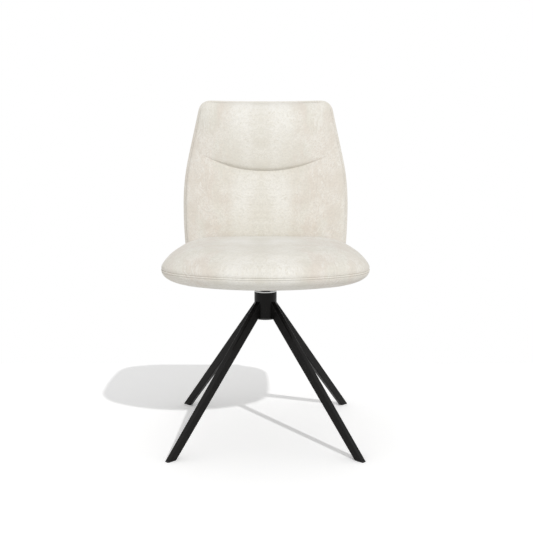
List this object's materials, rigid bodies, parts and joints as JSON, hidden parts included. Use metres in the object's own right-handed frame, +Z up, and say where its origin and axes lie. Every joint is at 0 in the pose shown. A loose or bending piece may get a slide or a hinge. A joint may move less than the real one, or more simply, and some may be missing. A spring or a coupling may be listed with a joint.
{
  "type": "swivel dining chair",
  "caption": "Armless upholstered dining chair with a domed seat and a padded head roll, turning on a short round column over splayed tapered steel legs.",
  "frame": {"origin": "on the floor, on the column's axis", "axes": "+Z up, the chair faces -Y, +X is to the right as seen from the front"},
  "size_m": [0.501, 0.624, 0.8662],
  "materials": {
    "black_powder_coat": "fine-textured satin black powder coat",
    "black_plastic": "moulded matt black",
    "bright_ring": "turned bright",
    "plywood": "sanded, unfinished",
    "cream_fabric": "soft short-pile weave, cloudy cream",
    "black_cloth": "thin non-woven cloth",
    "zinc_plated_steel": "bright zinc plate"
  },
  "bodies": {
    "base": {"hub_column": "black_powder_coat", "column_cap": "black_plastic", "leg_rear_right": "black_powder_coat", "leg_rear_left": "black_powder_coat", "leg_front_left": "black_powder_coat", "leg_front_right": "black_powder_coat", "foot_glide_rear_right": "black_plastic", "foot_glide_rear_left": "black_plastic", "foot_glide_front_left": "black_plastic", "foot_glide_front_right": "black_plastic", "bearing_ring": "bright_ring", "upper_bush": "black_plastic", "lower_bush": "black_plastic", "thrust_washer": "black_plastic", "lower_washer": "zinc_plated_steel"},
    "seat": {"spindle": "zinc_plated_steel", "circlip": "zinc_plated_steel", "spindle_collar": "zinc_plated_steel", "plate_gussets": "black_powder_coat", "swivel_plate": "black_powder_coat", "plate_bolts": "zinc_plated_steel", "plate_washers": "zinc_plated_steel", "plate_tee_nuts": "zinc_plated_steel", "seat_board": "plywood", "seat_lower_pad": "cream_fabric", "seat_welt": "cream_fabric", "seat_cushion": "cream_fabric", "seat_dust_cover": "black_cloth", "back_bracket_left": "black_powder_coat", "back_bracket_right": "black_powder_coat", "bracket_bolts": "zinc_plated_steel", "bracket_washers": "zinc_plated_steel", "bracket_tee_nuts": "zinc_plated_steel", "back_bolts": "zinc_plated_steel", "back_washers": "zinc_plated_steel", "back_tee_nuts": "zinc_plated_steel", "back_board": "plywood", "lumbar_pad": "cream_fabric", "head_pad": "cream_fabric", "rear_cover": "cream_fabric", "back_welt": "cream_fabric"}
  },
  "joints": [
    {"name": "seat_swivel", "type": "hinge", "parent": "base", "child": "seat", "pos_m": [0, 0, 0.3708], "axis": [0, 0, 1], "continuous": true}
  ]
}
